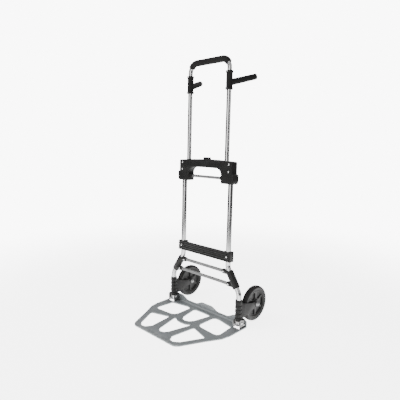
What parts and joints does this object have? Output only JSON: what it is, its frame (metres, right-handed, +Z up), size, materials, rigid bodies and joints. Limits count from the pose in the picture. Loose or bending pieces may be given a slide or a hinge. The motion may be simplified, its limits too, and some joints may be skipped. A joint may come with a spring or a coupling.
{
  "type": "hand truck",
  "caption": "Folding hand truck: telescoping U handle, swivelling side grips, push-button crosshead, folding toe plate and wheel forks that turn in with it.",
  "frame": {"origin": "on the floor, under the middle of the footprint (bottom centre of the bounding box)", "axes": "+X to the truck's right seen from behind it, +Y to the back where the wheels and the user are, +Z up"},
  "size_m": [0.532, 0.557, 1.2997],
  "materials": {
    "bright_tube": "polished",
    "plate_alloy": "matte grey, pressed sheet",
    "bracket_steel": "zinc plated",
    "bar_grey": "satin grey",
    "black_plastic": "fine grain",
    "black_foam": "closed-cell foam",
    "tyre_rubber": "smooth solid tread",
    "fastener": "bright plated",
    "bush_nylon": "natural nylon",
    "spring_steel": "drawn wire"
  },
  "bodies": {
    "frame": {"crosshead_front_shell": "black_plastic", "crosshead_rear_shell": "black_plastic", "crosshead_grip_bar": "bar_grey", "cross_panel": "black_plastic", "upper_crossbar": "bar_grey", "lower_crossbar": "bar_grey", "lower_tube_left": "bright_tube", "foot_plug_left": "black_plastic", "pivot_pin_left": "fastener", "guide_bush_left": "bush_nylon", "crosshead_bolt_lower_left": "fastener", "crosshead_bolt_upper_left": "fastener", "lock_spring_left": "spring_steel", "panel_clamp_left": "black_plastic", "panel_bolt_left": "fastener", "side_bracket_left": "black_plastic", "crossbar_rivet_lower_left": "fastener", "crossbar_rivet_upper_left": "fastener", "fork_collar_left": "black_plastic", "thrust_washer_left": "bush_nylon", "lower_tube_right": "bright_tube", "foot_plug_right": "black_plastic", "pivot_pin_right": "fastener", "guide_bush_right": "bush_nylon", "crosshead_bolt_lower_right": "fastener", "crosshead_bolt_upper_right": "fastener", "lock_spring_right": "spring_steel", "panel_clamp_right": "black_plastic", "panel_bolt_right": "fastener", "side_bracket_right": "black_plastic", "crossbar_rivet_lower_right": "fastener", "crossbar_rivet_upper_right": "fastener", "fork_collar_right": "black_plastic", "thrust_washer_right": "bush_nylon"},
    "handle": {"handle_tube": "bright_tube", "handle_grip": "black_foam"},
    "release_button": {"release_button": "black_plastic"},
    "toe_plate": {"toe_plate": "plate_alloy", "hinge_bracket_left": "bracket_steel", "ear_rivet_left": "fastener", "hinge_bracket_right": "bracket_steel", "ear_rivet_right": "fastener"},
    "side_grip_left": {"side_grip_left": "black_plastic", "side_grip_cap_left": "black_plastic"},
    "lock_rod_left": {"lock_rod_left": "bar_grey"},
    "wheel_fork_left": {"wheel_fork_left": "black_plastic", "axle_left": "fastener", "axle_cap_left": "fastener"},
    "wheel_left": {"wheel_hub_left": "black_plastic", "tyre_left": "tyre_rubber", "wheel_bush_left": "bush_nylon"},
    "side_grip_right": {"side_grip_right": "black_plastic", "side_grip_cap_right": "black_plastic"},
    "lock_rod_right": {"lock_rod_right": "bar_grey"},
    "wheel_fork_right": {"wheel_fork_right": "black_plastic", "axle_right": "fastener", "axle_cap_right": "fastener"},
    "wheel_right": {"wheel_hub_right": "black_plastic", "tyre_right": "tyre_rubber", "wheel_bush_right": "bush_nylon"}
  },
  "joints": [
    {"name": "handle_slide", "type": "slide", "parent": "frame", "child": "handle", "axis": [0, -0.0332, -0.9995], "range_m": [0, 0.329]},
    {"name": "release_button_press", "type": "slide", "parent": "frame", "child": "release_button", "axis": [0, -0.0332, -0.9995], "range_m": [0, 0.006], "stiffness_N_per_m": 400, "springref_m": -0.003},
    {"name": "toe_plate_fold", "type": "hinge", "parent": "frame", "child": "toe_plate", "pos_m": [0, 0.06346, 0.02898], "axis": [-1, 0, 0], "range_deg": [0, 90]},
    {"name": "side_grip_left_swivel", "type": "hinge", "parent": "handle", "child": "side_grip_left", "pos_m": [-0.13, 0.10132, 1.17036], "axis": [0, 0.0332, 0.9995], "range_deg": [-60, 66]},
    {"name": "lock_rod_left_slide", "type": "slide", "parent": "frame", "child": "lock_rod_left", "axis": [1, 0, 0], "range_m": [0, 0.006], "deforming": ["lock_spring_left"]},
    {"name": "wheel_fork_left_turn", "type": "hinge", "parent": "frame", "child": "wheel_fork_left", "pos_m": [-0.2341, 0.0625, 0], "axis": [0, 0.0332, 0.9995], "range_deg": [-90, 0]},
    {"name": "wheel_left_spin", "type": "hinge", "parent": "wheel_fork_left", "child": "wheel_left", "pos_m": [-0.2341, 0.1895, 0.089], "axis": [1, 0, 0], "continuous": true},
    {"name": "side_grip_right_swivel", "type": "hinge", "parent": "handle", "child": "side_grip_right", "pos_m": [0.13, 0.10132, 1.17036], "axis": [0, 0.0332, 0.9995], "range_deg": [-66, 60]},
    {"name": "lock_rod_right_slide", "type": "slide", "parent": "frame", "child": "lock_rod_right", "axis": [-1, 0, 0], "range_m": [0, 0.006], "deforming": ["lock_spring_right"]},
    {"name": "wheel_fork_right_turn", "type": "hinge", "parent": "frame", "child": "wheel_fork_right", "pos_m": [0.2341, 0.0625, 0], "axis": [0, 0.0332, 0.9995], "range_deg": [0, 90]},
    {"name": "wheel_right_spin", "type": "hinge", "parent": "wheel_fork_right", "child": "wheel_right", "pos_m": [0.2341, 0.1895, 0.089], "axis": [1, 0, 0], "continuous": true}
  ],
  "couplings": [
    {"joint": "lock_rod_right_slide", "follows": "release_button_press", "ratio": 1},
    {"joint": "lock_rod_left_slide", "follows": "release_button_press", "ratio": 1},
    {"joint": "wheel_fork_right_turn", "follows": "toe_plate_fold", "ratio": 1},
    {"joint": "wheel_fork_left_turn", "follows": "toe_plate_fold", "ratio": -1}
  ]
}
